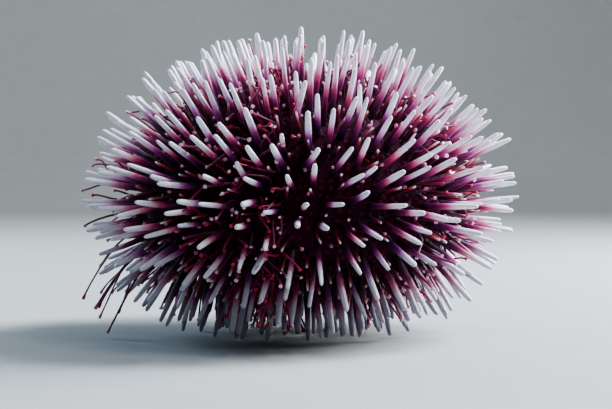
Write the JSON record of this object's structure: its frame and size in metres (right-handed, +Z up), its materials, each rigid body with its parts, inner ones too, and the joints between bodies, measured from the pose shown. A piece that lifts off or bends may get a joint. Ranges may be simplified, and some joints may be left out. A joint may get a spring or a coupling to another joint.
{
  "type": "violet sea urchin",
  "caption": "Life-size violet sea urchin: flattened round shell with blunt white-tipped spines all over, standing on its lower spines.",
  "frame": {"origin": "on the floor under the middle of the shell, at the bottom centre of the bounding box", "axes": "+Z up from the mouth side to the apex, -Y towards the front that the picture shows, +X to that view's right"},
  "size_m": [0.1112, 0.1111, 0.078],
  "materials": {
    "ambulacrum": "satin living shell and spines, deep violet at the root and white at the tip",
    "interambulacrum": "satin living shell and spines, deep violet at the root and white at the tip",
    "apical_plates": "finely granular violet plates",
    "mouth_membrane": "soft leathery membrane, brownish purple",
    "teeth": "hard glossy white enamel"
  },
  "bodies": {
    "root": {"ambulacrum_1": "ambulacrum", "ambulacrum_2": "ambulacrum", "ambulacrum_3": "ambulacrum", "ambulacrum_4": "ambulacrum", "ambulacrum_5": "ambulacrum", "interambulacrum_1": "interambulacrum", "interambulacrum_2": "interambulacrum", "interambulacrum_3": "interambulacrum", "interambulacrum_4": "interambulacrum", "interambulacrum_5": "interambulacrum", "apical_disc": "apical_plates", "periproct": "apical_plates", "peristome": "mouth_membrane", "lantern_teeth": "teeth"}
  },
  "joints": []
}
